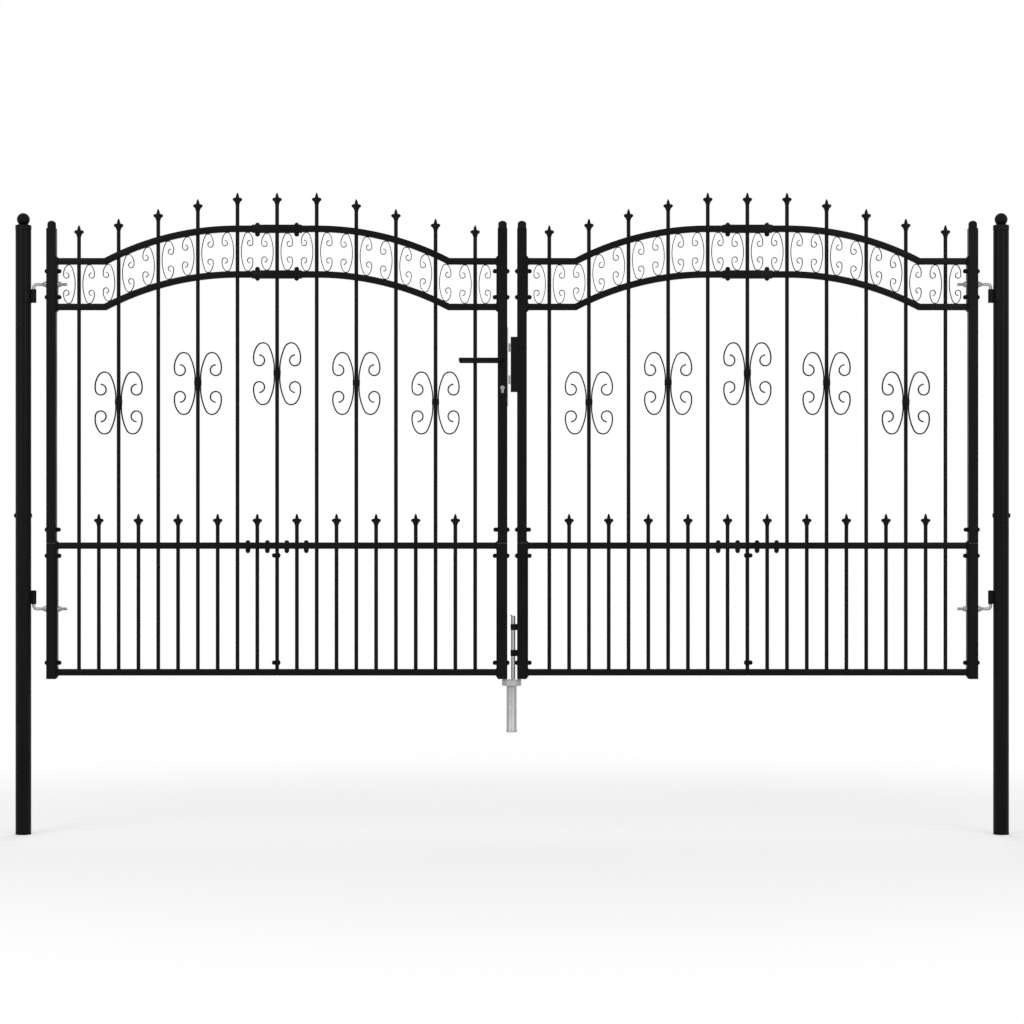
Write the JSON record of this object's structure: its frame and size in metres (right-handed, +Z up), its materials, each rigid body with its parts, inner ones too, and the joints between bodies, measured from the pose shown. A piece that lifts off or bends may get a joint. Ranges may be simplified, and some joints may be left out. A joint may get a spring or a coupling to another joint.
{
  "type": "double driveway gate",
  "caption": "Arched double driveway gate of square rails and round bars with scrolls and spear finials, on two ground posts with hook hinges, lever lock and drop bolt.",
  "frame": {"origin": "middle of the left post's flat foot", "axes": "+X from the left post to the right post, +Y away from the viewer to the side the leaves open to, +Z up the posts"},
  "size_m": [3.0655, 0.122, 1.9798],
  "materials": {
    "black_powder_coat": "satin black powder coat on steel",
    "zinc_plated_steel": "dull zinc plate",
    "nickel_plate": "satin nickel plate",
    "lock_steel": "brushed stainless steel",
    "black_lever_coat": "fine matte black coat"
  },
  "bodies": {
    "posts": {"post_lower_tubes": "black_powder_coat", "post_upper_tubes": "black_powder_coat", "post_foot_caps": "black_powder_coat", "post_ball_caps": "black_powder_coat", "hinge_brackets": "black_powder_coat", "ground_socket": "zinc_plated_steel"},
    "left_leaf": {"left_hinge_hooks": "zinc_plated_steel", "left_hinge_stile": "black_powder_coat", "left_meeting_stile": "black_powder_coat", "left_stile_caps": "black_powder_coat", "left_upper_arch_rail": "black_powder_coat", "left_lower_arch_rail": "black_powder_coat", "left_arch_sleeves": "black_powder_coat", "left_mid_rail": "black_powder_coat", "left_bottom_rail": "black_powder_coat", "left_hinge_end_plates": "black_powder_coat", "left_meeting_end_plates": "black_powder_coat", "left_long_bars": "black_powder_coat", "left_short_bars": "black_powder_coat", "left_panel_scrolls": "black_powder_coat", "left_scroll_collars": "black_powder_coat", "left_band_scrolls": "black_powder_coat", "lock_body": "lock_steel", "key_cylinder": "nickel_plate", "lever_roses": "black_lever_coat"},
    "right_leaf": {"right_hinge_hooks": "zinc_plated_steel", "right_hinge_stile": "black_powder_coat", "right_meeting_stile": "black_powder_coat", "right_stile_caps": "black_powder_coat", "right_upper_arch_rail": "black_powder_coat", "right_lower_arch_rail": "black_powder_coat", "right_arch_sleeves": "black_powder_coat", "right_mid_rail": "black_powder_coat", "right_bottom_rail": "black_powder_coat", "right_hinge_end_plates": "black_powder_coat", "right_meeting_end_plates": "black_powder_coat", "right_long_bars": "black_powder_coat", "right_short_bars": "black_powder_coat", "right_panel_scrolls": "black_powder_coat", "right_scroll_collars": "black_powder_coat", "right_band_scrolls": "black_powder_coat", "keep_box": "black_powder_coat", "drop_bolt_guides": "black_powder_coat"},
    "lever": {"lever_handles": "black_lever_coat"},
    "latch": {"latch_bolt": "lock_steel"},
    "dead_bolt": {"deadbolt": "lock_steel"},
    "drop_rod": {"drop_bolt": "zinc_plated_steel"}
  },
  "joints": [
    {"name": "left_leaf_swing", "type": "hinge", "parent": "posts", "child": "left_leaf", "pos_m": [0.03215, 0, 1], "axis": [0, 0, 1], "range_deg": [0, 100]},
    {"name": "right_leaf_swing", "type": "hinge", "parent": "posts", "child": "right_leaf", "pos_m": [2.98385, 0, 1], "axis": [0, 0, -1], "range_deg": [0, 100]},
    {"name": "lever_turn", "type": "hinge", "parent": "left_leaf", "child": "lever", "pos_m": [1.478, 0, 1.462], "axis": [0, -1, 0], "range_deg": [0, 35], "stiffness_Nm_per_rad": 0.8, "springref_deg": -57.3},
    {"name": "latch_slide", "type": "slide", "parent": "left_leaf", "child": "latch", "axis": [-1, 0, 0], "range_m": [0, 0.0063]},
    {"name": "deadbolt_slide", "type": "slide", "parent": "left_leaf", "child": "dead_bolt", "axis": [1, 0, 0], "range_m": [-0.0063, 0.012]},
    {"name": "drop_bolt_slide", "type": "slide", "parent": "right_leaf", "child": "drop_rod", "axis": [0, 0, 1], "range_m": [-0.02, 0.07]}
  ],
  "couplings": [
    {"joint": "latch_slide", "follows": "lever_turn", "m_per_rad": 0.0103}
  ]
}
